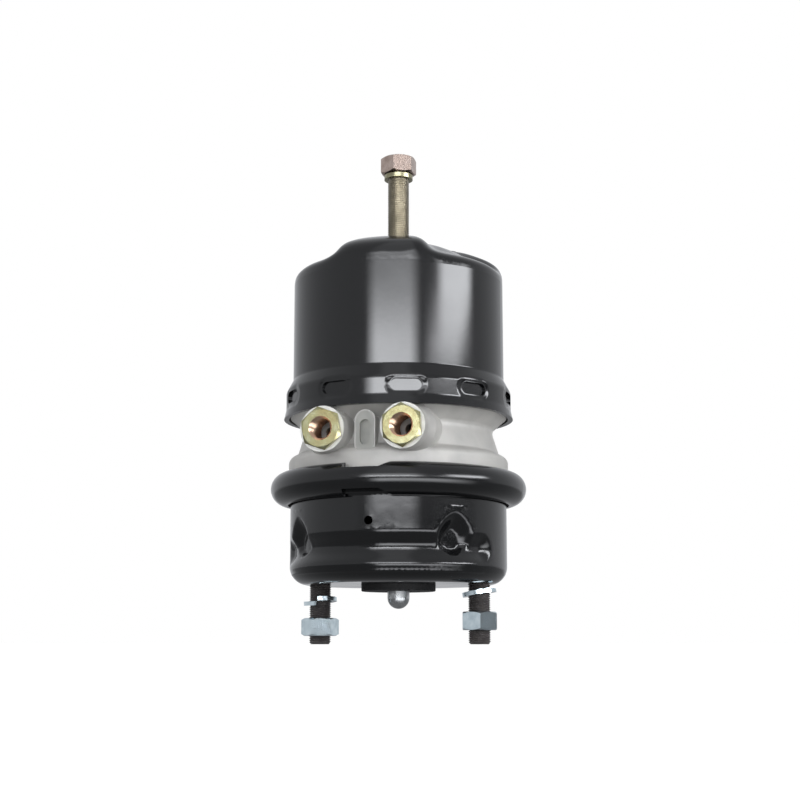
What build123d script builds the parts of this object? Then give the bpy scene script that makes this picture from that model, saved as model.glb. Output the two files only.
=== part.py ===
from build123d import *
from math import cos, hypot, radians, sin
import os

# Combined service and spring brake chamber for a disc brake caliper, in millimetres.
# Z is the chamber's axis. Z = 0 is the face that bolts to the caliper, and the spring
# brake head is above it. The two air ports point along -Y, and the two mounting studs
# stand on the X axis. Angles round the chamber are measured from -Y towards +X.

os.makedirs("parts", exist_ok=True)

# Mounting face, studs and their loose hardware
stud_spacing = 120.65
stud_r = 8.0
stud_length = 42.3
stud_tip_chamfer = 1.6
stud_neck_r = 7.4
stud_head_r = 12.0
stud_head_thickness = 5.5
nut_across_flats = 24.0
nut_height = 13.0
nut_clearance = 0.1
left_tip_length = 6.0
right_tip_length = 9.9
left_nut_turn = -37.2
right_nut_turn = -13.5
spring_washer_r = 12.2
spring_washer_bore_r = 8.5
spring_washer_thickness = 3.0
washer_turn = 355.0
left_washer_drop = 11.1
right_washer_drop = 5.7
left_washer_rise = 3.5
right_washer_rise = 1.2
left_washer_tilt = 4.0
right_washer_tilt = 10.5
left_washer_split = 5.0
right_washer_split = 100.0

# Service housing, a deep-drawn steel cup with a rolled rim
stud_edge = 18.675
service_sheet = 3.2
service_corner = 13.0
rim_width = 8.5
rim_thickness = 3.7
rim_rise = 3.4
rim_flare = 2.5
rim_flare_rise = 1.7
rod_hole_r = 18.0
gasket_r = 27.0
gasket_bore_r = 9.5
gasket_drop = 4.5
gasket_recess = 1.0
gasket_clearance = 0.3
vent_hole_r = 3.0
vent_holes = [(2.0, 41.0), (103.0, 44.0)]

# Stiffening grooves and wrench pockets pressed into the service housing. The pressed
# band is lofted through level sections that run from the band's foot to its top.
band_foot = 6.0
band_top = 52.0
band_sections = 23
band_points = 144
groove_angles = [0.0, 180.0]
groove_depth = 4.4
groove_height = 23.0
groove_half_width = 11.5
groove_straight = 178.0
pocket_angles = [-133.0, -47.0, 47.0, 133.0]
pocket_depth = 7.5
pocket_height = 26.0
pocket_width = 35.0
pocket_reach = 22.0
pocket_lower_reach = 10.0
pocket_round = 1.6
pocket_steepness = 1.7

# Service brake internals
rod_stroke = 57.0
rod_r = 8.0
rod_reach = 17.0
rod_flange_r = 14.0
rod_flange_height = 5.0
plate_margin = 27.0
plate_thickness = 3.5
plate_rim = 6.0
plate_clearance = 1.5
diaphragm_thickness = 4.4
diaphragm_bead = 5.0
diaphragm_margin = 6.0
return_wire_r = 2.2
return_spring_top_r = 27.0
return_spring_foot_r = 41.0
return_spring_turns = 5
boot_sheet = 1.6
boot_folds = 5
boot_flange = 6.0
boot_fold_r = 20.5
boot_neck = 5.0
boot_clearance = 0.3
seat_gap = 0.1

# Rolled clamp ring with its joint
clamp_drop = 4.2
clamp_offset = 2.9
clamp_mouth = 1.0
clamp_tube_r = 11.6
clamp_sheet = 2.8
clamp_joint_angle = 3.2
clamp_joint_trim = 4.2
clamp_joint_length = 36.0
clamp_joint_ramp = 10.0
clamp_seat = 2.4

# Cast aluminium flange body
flange_rim = 3.4
belt_step = 1.5
belt_rise = 5.9
belt_height = 13.0
belt_bend = 5.0
belt_chamfer = 6.5
belt_chamfer_rise = 3.5
waist_depth = 13.65
waist_rise = 15.0
waist_length = 3.5
flare_rise = 9.0
flare_lip = 0.5
flange_web = 10.0
flange_ring_height = 24.4
flange_ring_wall = 4.6
flange_hub_r = 29.0
flange_core_margin = 20.0
flange_edge = 1.1
seal_groove_width = 4.0
seal_groove_depth = 3.0
seal_groove_land = 1.5
crimp_groove_width = 11.8
crimp_groove_depth = 2.5
crimp_groove_land = 1.1

# Air ports and breather
port_offset = 29.0
port_drop = 16.8
port_reach = 6.0
port_hex = 27.0
port_hex_length = 3.5
service_hex_turn = 40.0
parking_hex_turn = 32.0
port_bore_r = 7.25
port_mouth_r = 8.4
port_thread_length = 22.0
port_shank_r = 10.5
port_shank_clearance = 0.1
boss_face_r = 16.0
boss_face_length = 9.5
boss_cone_length = 8.0
boss_r = 18.8
boss_root = 50.0
port_seal_section = 0.9
air_passage_r = 4.0
cap_drop = 2.5
cap_width = 12.6
cap_length = 29.1
cap_setback = 10.0
cap_thickness = 4.0
cap_slot_width = 7.4
cap_slot_length = 17.5
cap_slot_depth = 2.4
cap_pad_margin = 1.2

# Spring brake head, a deep-drawn steel cover
skirt_step = 4.0
head_sheet = 3.2
shoulder_step = 5.0
shoulder_height = 9.4
shoulder_inner_drop = 1.4
shoulder_bend = 6.0
neck_bend = 3.0
lip_drop = 0.9
lip_flare = 1.5
lip_flare_height = 6.6
head_wall_length = 72.6
roof_rise = 27.5
lobe_count = 3
lobe_turn = 7.0
lobe_crest_angle = 21.0
lobe_foot_angle = 39.0
roof_hole_clearance = 0.6
dimple_count = 10
dimple_turn = 2.7
dimple_length = 22.0
dimple_width = 8.5
dimple_depth = 2.4
dimple_growth = 1.4
skirt_clearance = 0.1

# Spring brake internals
piston_drop = 30.0
piston_clearance = 0.4
piston_crown_thickness = 8.0
piston_skirt = 14.0
piston_skirt_thickness = 5.0
piston_hub_length = 16.0
piston_seal_width = 4.0
piston_seal_depth = 4.0
power_wire_r = 4.5
power_spring_margin = 26.5
power_spring_turns = 3
power_spring_gap = 0.6
spring_seat_thickness = 2.0
spring_seat_margin = 1.5
tube_r = 17.0
tube_wall = 3.0
tube_clearance = 0.8
tube_foot_height = 9.0
bush_wall = 2.5
bush_drop = 2.0
bush_length = 24.0
bush_clearance = 0.05
tube_seal_height = 4.0

# Release bolt
thread_pitch = 1.5
release_turns = 37
screw_r = 8.0
screw_clearance = 0.05
screw_tail = 13.7
insert_wall = 8.0
insert_length = 20.0
collar_height = 10.0
collar_clearance = 0.3
release_nut_turn = -29.0
release_washer_r = 10.8
release_washer_thickness = 3.2
release_washer_gap = 0.8
release_stop = 1.5

# Heights above the mounting face, each worked out from the one below it
left_nut_drop = stud_length - nut_height - left_tip_length
right_nut_drop = stud_length - nut_height - right_tip_length
stud_head_top = service_sheet + stud_head_thickness
plate_top = stud_head_top + plate_clearance + rod_stroke + plate_rim
clamp_height = plate_top - clamp_drop
rim_top = clamp_height - clamp_seat
rim_underside = rim_top - rim_thickness
service_neck = rim_underside - rim_rise
flange_seat = rim_top + diaphragm_bead
diaphragm_crown_top = plate_top + 2 * seat_gap + diaphragm_thickness
flange_ceiling = diaphragm_crown_top + 2 * seat_gap
belt_low = flange_seat + belt_rise
belt_top = belt_low + belt_height
belt_chamfer_top = belt_top + belt_chamfer_rise
waist_low = belt_chamfer_top + waist_rise
waist_high = waist_low + waist_length
flange_underside = waist_high + flare_rise
flange_floor = flange_underside - flare_lip
flange_top = flange_floor + flange_ring_height
port_height = flange_floor - port_drop
cap_height = port_height - cap_drop
seal_groove_low = flange_underside + seal_groove_land
seal_groove_high = seal_groove_low + seal_groove_width
crimp_groove_low = seal_groove_high + crimp_groove_land
crimp_groove_high = crimp_groove_low + crimp_groove_width
dimple_height = (crimp_groove_low + crimp_groove_high) / 2
lip_height = flange_underside - lip_drop
shoulder_low = crimp_groove_high + skirt_clearance
shoulder_high = shoulder_low + shoulder_height
roof_foot = shoulder_high + head_wall_length
roof_top = roof_foot + roof_rise
piston_crown = roof_foot - piston_drop
piston_hub_bottom = piston_crown - piston_hub_length
tube_bottom = diaphragm_crown_top + tube_clearance
bush_top = flange_floor - bush_drop
collar_top = piston_hub_bottom - collar_clearance
screw_bottom = collar_top - screw_tail
release_washer_bottom = roof_top + thread_pitch * release_turns + release_stop
release_nut_bottom = release_washer_bottom + release_washer_thickness + release_washer_gap
release_nut_top = release_nut_bottom + nut_height

# Radii that follow from the studs' spacing
service_r = stud_spacing / 2 + stud_edge
rim_r = service_r + rim_width
clamp_core_r = service_r + clamp_offset
clamp_mouth_r = clamp_core_r - clamp_mouth
belt_r = service_r + belt_step
belt_chamfer_r = belt_r - belt_chamfer
skirt_r = service_r + skirt_step
lip_r = skirt_r + lip_flare
head_r = skirt_r - shoulder_step
waist_r = skirt_r - waist_depth
flange_ring_r = skirt_r - head_sheet - skirt_clearance
flange_ring_bore_r = flange_ring_r - flange_ring_wall
flange_core_r = service_r - flange_core_margin
diaphragm_side_r = service_r - diaphragm_margin
plate_r = service_r - plate_margin
power_spring_r = head_r - power_spring_margin
piston_r = head_r - head_sheet - piston_clearance
port_face = skirt_r + port_reach
cap_face = port_face - cap_setback
boot_foot_r = rod_hole_r + boot_flange
stud_head_trim_r = service_r - service_corner - 0.5
power_spring_pitch = 2 * power_wire_r + power_spring_gap
boot_neck_r = rod_r + boot_neck
insert_r = screw_r + insert_wall
collar_r = tube_r - tube_wall - collar_clearance
roof_hole_r = screw_r + roof_hole_clearance

# Height of each section of the head's roof as a share of its rise, and how far the
# lobes and the valleys between them reach there as shares of the head's radius.
roof_sections = [
    (0.145, 1.000, 0.993),
    (0.290, 0.998, 0.955),
    (0.400, 0.990, 0.872),
    (0.545, 0.962, 0.750),
    (0.670, 0.910, 0.673),
    (0.793, 0.820, 0.596),
    (0.909, 0.705, 0.506),
    (1.000, 0.577, 0.397),
]
roof_points = 36


def turned(points, radii=0):
    """A body turned about Z from (radius, height) corners with their corner radii."""
    outline = FilletPolyline(*points, radius=radii, close=True)
    return revolve(Plane.XZ * make_face(outline), Axis.Z)


def ring(outer, inner, low, high):
    """A plain ring between two radii and two heights."""
    return turned([(inner, low), (outer, low), (outer, high), (inner, high)])


def disc(radius, low, high):
    """A plain round bar between two heights."""
    return Pos(0, 0, low) * Cylinder(
        radius, high - low, align=(Align.CENTER, Align.CENTER, Align.MIN)
    )


def facing(angle, distance, height):
    """A plane that looks out along a direction round the chamber, with its Y upwards."""
    a = radians(angle - 90)
    out = Vector(cos(a), sin(a), 0)
    across = Vector(-sin(a), cos(a), 0)
    return Plane(origin=out * distance + Vector(0, 0, height), x_dir=across, z_dir=out)


def spun(angle, shape):
    """The shape turned about the chamber's axis."""
    return Rot(0, 0, angle) * shape


def hex_blank(across_flats, height, turn):
    """A hexagon bar from Z = 0 with its corners cut back by the usual 30 degrees."""
    corner_r = across_flats / 3**0.5
    face_r = across_flats / 2 * 0.96
    drop = (corner_r - face_r) * 0.577
    bar = extrude(RegularPolygon(corner_r, 6, rotation=turn), height)
    envelope = turned(
        [
            (0, 0),
            (face_r, 0),
            (corner_r, drop),
            (corner_r, height - drop),
            (face_r, height),
            (0, height),
        ]
    )
    return bar & envelope


def hex_nut(bore_r, turn):
    """A mounting nut with a countersink at each end of its bore."""
    mouth_r = stud_r + 0.4
    lead = mouth_r - bore_r
    bore = turned(
        [
            (0, 0),
            (mouth_r, 0),
            (bore_r, lead),
            (bore_r, nut_height - lead),
            (mouth_r, nut_height),
            (0, nut_height),
        ]
    )
    return hex_blank(nut_across_flats, nut_height, turn) - bore


def coil(wire_r, radius, pitch, turns, bottom, top_radius=None):
    """A coil spring of round wire about Z whose lowest turn starts at the bottom."""
    height = pitch * turns
    taper = 0 if top_radius is None else (top_radius - radius) / height
    steps = 12 * turns
    points = []
    for i in range(steps + 1):
        a = radians(360 * turns * i / steps)
        r = radius + taper * height * i / steps
        points.append((r * cos(a), r * sin(a), bottom + wire_r + height * i / steps))
    path = Spline(*points)
    start = Plane(origin=path @ 0, z_dir=path % 0)
    return sweep(start * Circle(wire_r), path=path)


def split_washer(rise, start_angle):
    """One left-hand turn of square wire, as a spring washer is before it is flattened."""
    mean_r = (spring_washer_r + spring_washer_bore_r) / 2
    width = spring_washer_r - spring_washer_bore_r
    steps = 24
    points = []
    for i in range(steps + 1):
        a = radians(start_angle - 90 - washer_turn * i / steps)
        points.append((mean_r * cos(a), mean_r * sin(a), rise * (i / steps - 0.5)))
    path = Spline(*points)
    start = Plane(origin=path @ 0, x_dir=(0, 0, 1), z_dir=path % 0)
    section = start * Rectangle(spring_washer_thickness, width)
    return sweep(section, path=path, is_frenet=True)


def level_face(points):
    """A face inside a closed smooth curve whose knots every section of a loft shares."""
    steps = [i / len(points) for i in range(len(points) + 1)]
    points = [Vector(*point) for point in points]
    return Face(Wire([Edge.make_spline(points, periodic=True, parameters=steps)]))


def eased(share):
    """0 to 1 with a level start and end."""
    share = min(max(share, 0), 1)
    return share * share * (3 - 2 * share)


def angle_between(a, b):
    return abs((a - b + 180) % 360 - 180)


def arc_between(a, b):
    return radians(angle_between(a, b)) * service_r


def pressed_depth(angle, height):
    """How far the grooves and pockets go into the service housing at one place."""
    sides = []
    for middle in groove_angles:
        past_end = arc_between(angle, middle) - groove_straight / 2
        away = hypot(max(past_end, 0), height - groove_height)
        sides.append(groove_depth * eased(1.1 - 1.1 * away / groove_half_width))
    for middle in pocket_angles:
        across = arc_between(angle, middle) / (pocket_width / 2)
        rise = height - pocket_height
        reach = pocket_reach if rise > 0 else pocket_lower_reach
        away = (across**pocket_round + (abs(rise) / reach) ** pocket_round) ** (1 / pocket_round)
        sides.append(pocket_depth * eased(pocket_steepness * (1 - away)))
    return sum(side**4 for side in sides) ** 0.25


def band_section(height, inset):
    """One level section through the pressed band of the service housing."""
    corner = service_corner - inset
    drop = max(service_corner - height, 0)
    base = service_r - service_corner + (corner**2 - drop**2) ** 0.5
    points = []
    for i in range(band_points):
        angle = 360 * i / band_points
        reach = base - pressed_depth(angle, height)
        a = radians(angle - 90)
        points.append((reach * cos(a), reach * sin(a), height))
    return level_face(points)


def pressed_band(inset):
    """The pressed band as a solid, drawn in from its outer face by the inset."""
    corner = service_corner - inset
    foot_r = service_r - service_corner
    foot_r += (corner**2 - (service_corner - band_foot) ** 2) ** 0.5
    sections = [Plane((0, 0, band_foot), x_dir=(0, -1, 0)) * Circle(foot_r)]
    step = (band_top - band_foot) / band_sections
    for i in range(1, band_sections):
        sections.append(band_section(band_foot + step * i, inset))
    sections.append(Plane((0, 0, band_top), x_dir=(0, -1, 0)) * Circle(service_r - inset))
    return loft(sections)


def service_foot():
    """The housing's floor and rounded corner below the pressed band."""
    inner_r = service_r - service_sheet
    cup = turned(
        [
            (rod_hole_r, 0),
            (service_r, 0),
            (service_r, band_top),
            (inner_r, band_top),
            (inner_r, service_sheet),
            (rod_hole_r, service_sheet),
        ],
        [0, service_corner, 0, 0, service_corner - service_sheet, 0],
    )
    return cup & disc(service_r, 0, band_foot)


def service_mouth():
    """The housing above its pressed band, with the flared rim the clamp ring holds."""
    flare_r = service_r + rim_flare
    flare_z = service_neck + rim_flare_rise
    inner_flare_r = flare_r - service_sheet * 0.6
    inner_neck = service_neck + service_sheet * 0.55
    return turned(
        [
            (service_r - service_sheet, band_top),
            (service_r, band_top),
            (service_r, service_neck),
            (flare_r, flare_z),
            (rim_r, rim_underside),
            (rim_r, rim_top),
            (inner_flare_r, rim_top),
            (inner_flare_r, flare_z + service_sheet),
            (service_r - service_sheet, inner_neck),
        ],
        [0, 0, 3, 0, 0, 0, 0, 0, 3],
    )


def make_lower_housing():
    band = pressed_band(0) - pressed_band(service_sheet)
    shell = service_foot() + band + service_mouth()
    shell -= disc(gasket_r + gasket_clearance, -1, gasket_recess)
    for side in (-1, 1):
        hole = disc(stud_r + nut_clearance, -1, service_sheet + 1)
        shell -= Pos(side * stud_spacing / 2, 0, 0) * hole
    for angle, height in vent_holes:
        shell -= extrude(facing(angle, service_r - 9, height) * Circle(vent_hole_r), 12)
    return shell


def make_gasket():
    return turned(
        [
            (gasket_bore_r, -gasket_drop),
            (gasket_r, -gasket_drop),
            (gasket_r, gasket_recess),
            (gasket_bore_r, gasket_recess),
        ],
        [0.5, 0.8, 0, 0],
    )


def make_stud(side, nut_drop):
    """A headed stud whose thread is drawn at its mean radius where the nut sits."""
    nut_top = -nut_drop
    nut_bottom = nut_top - nut_height
    shank = turned(
        [
            (stud_r, stud_tip_chamfer - stud_length),
            (stud_r, nut_bottom),
            (stud_neck_r, nut_bottom),
            (stud_neck_r, nut_top),
            (stud_r, nut_top),
            (stud_r, service_sheet + 1),
            (0, service_sheet + 1),
            (0, -stud_length),
            (stud_r - stud_tip_chamfer, -stud_length),
        ]
    )
    in_place = Pos(side * stud_spacing / 2, 0, 0)
    trim = disc(stud_head_trim_r, service_sheet, stud_head_top)
    head = (in_place * disc(stud_head_r, service_sheet, stud_head_top)) & trim
    return in_place * shank + head


def make_stud_nut(side, drop, turn):
    nut = hex_nut(stud_neck_r + nut_clearance, turn)
    return Pos(side * stud_spacing / 2, 0, -drop - nut_height) * nut


def make_spring_washer(side, drop, rise, tilt, split_angle):
    """A spring washer that hangs loose and tilted on its stud."""
    washer = Rot(0, -tilt, 0) * split_washer(rise, split_angle)
    return Pos(side * stud_spacing / 2, 0, -drop) * washer


def clamp_section():
    """The C-shaped section of the clamp ring, open towards the chamber's axis."""
    centre = (clamp_core_r, clamp_height)
    tube = Pos(*centre) * (Circle(clamp_tube_r) - Circle(clamp_tube_r - clamp_sheet))
    mouth = Pos(clamp_mouth_r - 50, clamp_height) * Rectangle(100, 100)
    return tube - mouth


def make_clamp_ring():
    band = revolve(Plane.XZ * clamp_section(), Axis.Z)
    low = clamp_tube_r - clamp_joint_trim
    half = clamp_joint_length / 2
    trim = make_face(
        Polyline(
            (-half, low),
            (half - clamp_joint_ramp, low),
            (half, low + clamp_joint_trim + 1),
            (-half, low + clamp_joint_trim + 1),
            close=True,
        )
    )
    joint = facing(clamp_joint_angle, clamp_core_r - 8, clamp_height)
    upper = extrude(joint * trim, 25)
    lower = extrude(joint * mirror(trim, Plane.XZ), 25)
    return band - upper - lower


def make_flange_body():
    web_bottom = flange_floor - flange_web
    ring_r = flange_ring_r
    seal_r = ring_r - seal_groove_depth
    crimp_r = ring_r - crimp_groove_depth
    bore_r = tube_r + bush_clearance + bush_wall
    body = turned(
        [
            (bore_r, flange_ceiling),
            (flange_hub_r, flange_ceiling),
            (flange_hub_r + 2, web_bottom),
            (flange_core_r - 2, web_bottom),
            (flange_core_r, flange_ceiling),
            (diaphragm_side_r - 1, flange_ceiling - 1),
            (diaphragm_side_r + 1, flange_seat),
            (rim_r, flange_seat),
            (rim_r, flange_seat + flange_rim),
            (belt_r, belt_low),
            (belt_r, belt_top),
            (belt_chamfer_r, belt_chamfer_top),
            (waist_r, waist_low),
            (waist_r, waist_high),
            (ring_r - 1, flange_underside - 0.5),
            (ring_r, flange_underside),
            (ring_r, seal_groove_low),
            (seal_r, seal_groove_low),
            (seal_r, seal_groove_high),
            (ring_r, seal_groove_high),
            (ring_r, crimp_groove_low),
            (crimp_r, crimp_groove_low),
            (crimp_r, crimp_groove_high),
            (ring_r - flange_edge, crimp_groove_high),
            (flange_ring_bore_r + 0.6, flange_top),
            (flange_ring_bore_r, flange_top),
            (flange_ring_bore_r, flange_floor),
            (bore_r, flange_floor),
        ],
        [0, 3, 5, 5, 3, 2, 1, 0, 1, 1, belt_bend, 2.5, 8, 4, 0]
        + [0] * 11
        + [4, 0],
    )
    for side in (-1, 1):
        body += port_boss(side * port_offset)
    body += breather_pad()
    body -= disc(bore_r, flange_ceiling - 1, flange_floor + 1)
    body -= disc(flange_ring_bore_r, flange_floor, flange_top + 1)
    for side in (-1, 1):
        body -= port_cavity(side * port_offset)
    body -= air_passage(port_offset, flange_floor - 14, flange_floor + 1)
    body -= air_passage(-port_offset, flange_ceiling - 1, port_height)
    return body - breather_cavity()


def port_plane(x, distance):
    """A plane across a port's axis that looks out of the port."""
    return Plane(origin=(x, -distance, port_height), x_dir=(1, 0, 0), z_dir=(0, -1, 0))


def port_boss(x):
    """A cast boss that widens into the body, with a machined end behind the hexagon."""
    step = port_face - port_hex_length - boss_face_length
    foot = step - boss_cone_length
    end = extrude(port_plane(x, step) * Circle(boss_face_r), boss_face_length)
    narrow = port_plane(x, step) * Circle(boss_face_r)
    wide = port_plane(x, foot) * Circle(boss_r)
    root = extrude(port_plane(x, boss_root) * Circle(boss_r), foot - boss_root)
    return end + loft([wide.face(), narrow.face()]) + root


def port_cavity(x):
    """The hole that takes a port fitting's shank, with the drilled end behind it."""
    face = port_face - port_hex_length
    shank_end = port_face - port_thread_length - 2
    bore = port_plane(x, shank_end) * Circle(port_shank_r + port_shank_clearance)
    drilled = port_plane(x, flange_hub_r + 14) * Circle(air_passage_r)
    hole = extrude(bore, face - shank_end + 1)
    return hole + extrude(drilled, shank_end - flange_hub_r - 13)


def air_passage(x, low, high):
    """The upright drilling that takes a port's air to its chamber."""
    return Pos(x, -(flange_hub_r + 18), low) * Cylinder(
        air_passage_r, high - low, align=(Align.CENTER, Align.CENTER, Align.MIN)
    )


def cap_plane(distance):
    """A plane across the breather, with its X upwards."""
    return Plane(origin=(0, -distance, cap_height), x_dir=(0, 0, 1), z_dir=(0, -1, 0))


def breather_pad():
    """The raised pad between the ports that carries the breather."""
    pad = SlotOverall(cap_length + 2 * cap_pad_margin, cap_width + 2 * cap_pad_margin)
    return extrude(cap_plane(boss_root) * pad, cap_face - boss_root)


def breather_cavity():
    """The seat of the breather cap and the breather hole behind it."""
    back = cap_face - cap_thickness
    clearance = 2 * seat_gap
    seat = SlotOverall(cap_length + clearance, cap_width + clearance)
    hole_root = flange_core_r - 8
    hole = extrude(cap_plane(hole_root) * Circle(air_passage_r), back + 1 - hole_root)
    return extrude(cap_plane(back) * seat, cap_thickness + 1) + hole


def make_vent_cap():
    back = cap_face - cap_thickness
    cap = extrude(cap_plane(back) * SlotOverall(cap_length, cap_width), cap_thickness)
    slot = SlotOverall(cap_slot_length, cap_slot_width)
    return cap - extrude(cap_plane(cap_face - cap_slot_depth) * slot, cap_slot_depth + 1)


def make_port_fitting(x, turn):
    """A threaded steel bush with a hexagon, screwed into the body's boss."""
    face = port_face - port_hex_length
    hexagon = hex_blank(port_hex, port_hex_length, turn)
    shank = disc(port_shank_r, -(face - (port_face - port_thread_length)), 0.5)
    groove_r = port_shank_r + port_shank_clearance - 2 * port_seal_section - seat_gap / 2
    groove = ring(port_shank_r + 1, groove_r, -port_seal_section * 2, 0)
    bore = turned(
        [
            (0, -port_thread_length),
            (port_bore_r, -port_thread_length),
            (port_bore_r, port_hex_length - (port_mouth_r - port_bore_r)),
            (port_mouth_r, port_hex_length),
            (port_mouth_r, port_hex_length + 1),
            (0, port_hex_length + 1),
        ]
    )
    return port_plane(x, face).location * (hexagon + shank - groove - bore)


def make_port_seal(x):
    """An O-ring in the undercut behind a port fitting's hexagon."""
    face = port_face - port_hex_length
    section = port_seal_section - seat_gap / 2
    middle_r = port_shank_r + port_shank_clearance - section - seat_gap / 2
    seal = Torus(middle_r, section)
    return port_plane(x, face - port_seal_section).location * seal


def lobe_share(angle):
    """0 in a valley of the roof and 1 on a lobe, with a smooth flank between them."""
    spacing = 360 / lobe_count
    off = abs((angle - lobe_turn + spacing / 2) % spacing - spacing / 2)
    step = (lobe_foot_angle - off) / (lobe_foot_angle - lobe_crest_angle)
    step = min(max(step, 0), 1)
    return step * step * (3 - 2 * step)


def roof_section(share, lobe, valley, inset):
    """One level section through the lobes and valleys of the head's roof."""
    height = roof_foot + share * (roof_top - roof_foot) - inset
    radius = head_r - inset
    points = []
    for i in range(roof_points):
        angle = 360 * i / roof_points
        reach = radius * (valley + (lobe - valley) * lobe_share(angle))
        a = radians(angle - 90)
        points.append((reach * cos(a), reach * sin(a), height))
    return level_face(points)


def head_wall(inset):
    """The head below its roof as a solid, drawn in from its outer face by the inset."""
    drop = shoulder_inner_drop if inset else 0
    wall = turned(
        [
            (0, lip_height - inset),
            (lip_r - inset, lip_height - inset),
            (skirt_r - inset, lip_height + lip_flare_height),
            (skirt_r - inset, shoulder_low - drop),
            (head_r - inset, shoulder_high - drop),
            (head_r - inset, roof_foot + inset),
            (0, roof_foot + inset),
        ],
        [0, 0, 6, shoulder_bend - inset, neck_bend + inset, 0, 0],
    )
    for i in range(dimple_count):
        wall -= dimple_tool(inset, 360 * (i + 0.5) / dimple_count + dimple_turn)
    return wall


def roof_form(inset):
    """The lobed roof as a solid, drawn in from its outer face by the inset."""
    foot = Plane((0, 0, roof_foot), x_dir=(0, -1, 0)) * Circle(head_r - inset)
    return loft([foot] + [roof_section(*row, inset) for row in roof_sections])


def dimple_tool(inset, angle):
    """One crimp that locks the head's skirt into the groove of the flange body."""
    grow = 2 * dimple_growth if inset else 0
    slot = SlotOverall(dimple_length + grow, dimple_width + grow)
    floor = skirt_r - inset - dimple_depth
    return extrude(facing(angle, floor, dimple_height) * slot, 10)


def make_head_shell():
    wall = head_wall(0) - head_wall(head_sheet)
    roof = roof_form(0) - roof_form(head_sheet)
    return wall + (roof - disc(roof_hole_r, roof_top - 20, roof_top + 1))


def make_thread_insert():
    """The welded nut under the roof in which the release screw turns."""
    top = roof_top - head_sheet - seat_gap
    bore_r = screw_r + screw_clearance
    return ring(insert_r, bore_r, top - insert_length, top)


def make_piston():
    outer = piston_r
    seal_low = piston_crown - piston_crown_thickness / 2 - piston_seal_width / 2
    skirt_bottom = piston_crown - piston_skirt
    crown_bottom = piston_crown - piston_crown_thickness
    seal_bed = outer - piston_seal_depth
    hub_r = tube_r + 4
    return turned(
        [
            (screw_r + 1, piston_crown),
            (outer, piston_crown),
            (outer, seal_low + piston_seal_width),
            (seal_bed, seal_low + piston_seal_width),
            (seal_bed, seal_low),
            (outer, seal_low),
            (outer, skirt_bottom),
            (outer - piston_skirt_thickness, skirt_bottom),
            (outer - piston_skirt_thickness, crown_bottom),
            (hub_r, crown_bottom),
            (hub_r, piston_hub_bottom),
            (screw_r + 1, piston_hub_bottom),
        ]
    )


def make_piston_seal():
    seal_middle = piston_crown - piston_crown_thickness / 2
    low = seal_middle - piston_seal_width / 2 + seat_gap
    high = seal_middle + piston_seal_width / 2 - seat_gap
    inner = piston_r - piston_seal_depth + seat_gap
    return ring(head_r - head_sheet - seat_gap, inner, low, high)


def power_spring_top():
    height = power_spring_pitch * power_spring_turns
    return piston_crown + seat_gap + 2 * power_wire_r + height


def make_power_spring():
    bottom = piston_crown + seat_gap
    return coil(
        power_wire_r, power_spring_r, power_spring_pitch, power_spring_turns, bottom
    )


def make_spring_seat():
    """The pressed ring between the power spring and the underside of the roof."""
    low = power_spring_top() + seat_gap
    outer = power_spring_r + power_wire_r + spring_seat_margin
    inner = power_spring_r - power_wire_r - spring_seat_margin
    return ring(outer, inner, low, low + spring_seat_thickness)


def make_push_tube():
    top = piston_hub_bottom - seat_gap
    return ring(tube_r, tube_r - tube_wall, tube_bottom + 2, top)


def make_tube_foot():
    """The plug that carries the push tube's load on to the diaphragm."""
    inner = tube_r - tube_wall - seat_gap
    return turned(
        [
            (0, tube_bottom),
            (tube_r - 1, tube_bottom),
            (tube_r - 1, tube_bottom + 2),
            (inner, tube_bottom + 2),
            (inner, tube_bottom + tube_foot_height),
            (0, tube_bottom + tube_foot_height),
        ]
    )


def make_tube_bush():
    inner = tube_r + bush_clearance
    return ring(inner + bush_wall, inner, bush_top - bush_length, bush_top)


def make_tube_seal():
    inner = tube_r + bush_clearance
    top = bush_top - bush_length - seat_gap
    return ring(inner + bush_wall, inner, top - tube_seal_height, top)


def make_flange_seal():
    """The O-ring that seals the flange body inside the head's skirt."""
    ring_r = skirt_r - head_sheet
    section = (seal_groove_depth + skirt_clearance) / 2 - seat_gap / 2
    middle = (seal_groove_low + seal_groove_high) / 2
    return Pos(0, 0, middle) * Torus(ring_r - section - seat_gap / 2, section)


def make_release_screw():
    lead = 1.5
    top = release_nut_top - 1
    return turned(
        [
            (0, screw_bottom),
            (screw_r - lead, screw_bottom),
            (screw_r, screw_bottom + lead),
            (screw_r, top - lead),
            (screw_r - lead, top),
            (0, top),
        ]
    )


def make_release_nut():
    """The wrench hexagon fixed to the top of the release screw."""
    blank = hex_blank(nut_across_flats, nut_height, release_nut_turn)
    hole = disc(screw_r + seat_gap / 2, -1, nut_height + 1)
    return Pos(0, 0, release_nut_top - nut_height) * (blank - hole)


def make_release_washer():
    high = release_washer_bottom + release_washer_thickness
    return ring(release_washer_r, screw_r + seat_gap, release_washer_bottom, high)


def make_thrust_collar():
    """The collar that the screw's inner end pulls up against the piston."""
    bore_r = screw_r + screw_clearance
    return ring(collar_r, bore_r, collar_top - collar_height, collar_top)


def make_diaphragm():
    low = rim_top + seat_gap
    high = flange_seat - seat_gap
    crown_low = diaphragm_crown_top - diaphragm_thickness
    side = diaphragm_side_r - 0.6
    return turned(
        [
            (0, crown_low),
            (side - diaphragm_thickness, crown_low),
            (side - diaphragm_thickness, low),
            (rim_r, low),
            (rim_r, high),
            (side, high),
            (side - 1.6, diaphragm_crown_top - 1.4),
            (0, diaphragm_crown_top),
        ],
        [0, 2, 2, 0, 0, 1.5, 1, 0],
    )


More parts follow.
